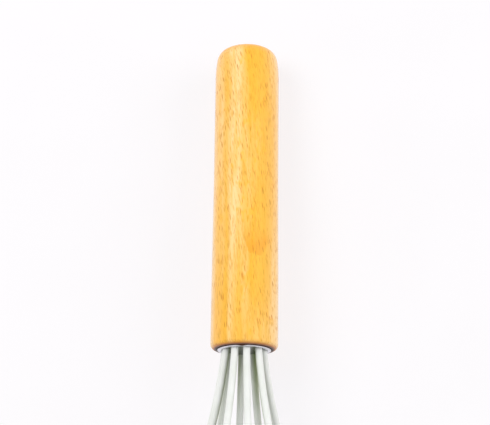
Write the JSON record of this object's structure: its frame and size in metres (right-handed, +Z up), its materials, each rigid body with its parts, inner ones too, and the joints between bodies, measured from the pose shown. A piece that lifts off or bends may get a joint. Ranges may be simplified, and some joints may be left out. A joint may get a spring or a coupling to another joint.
{
  "type": "balloon whisk",
  "caption": "Balloon whisk with a turned beech handle, a steel end cap and crossing loops of silicone-coated wire.",
  "frame": {"origin": "bottom centre of the whole whisk's box, on the table that it lies on", "axes": "+Y along the whisk towards the handle's domed end, seen from above; +Z up; +X to the right when the handle points away. The whisk's own axis tilts 4.4 degrees down towards the dome, as it rests"},
  "size_m": [0.0672, 0.297, 0.0646],
  "materials": {
    "beech": "satin, oiled",
    "cap_steel": "polished",
    "spring_wire": "drawn",
    "silicone": "satin",
    "nylon": "moulded",
    "resin": "cast"
  },
  "bodies": {
    "root": {"handle": "beech", "end_cap": "cap_steel", "anchor_block": "nylon", "epoxy_potting": "resin", "wire_core_1": "spring_wire", "wire_core_2": "spring_wire", "wire_core_3": "spring_wire", "wire_core_4": "spring_wire", "wire_core_5": "spring_wire", "silicone_coat_1": "silicone", "silicone_coat_2": "silicone", "silicone_coat_3": "silicone", "silicone_coat_4": "silicone", "silicone_coat_5": "silicone"}
  },
  "joints": []
}
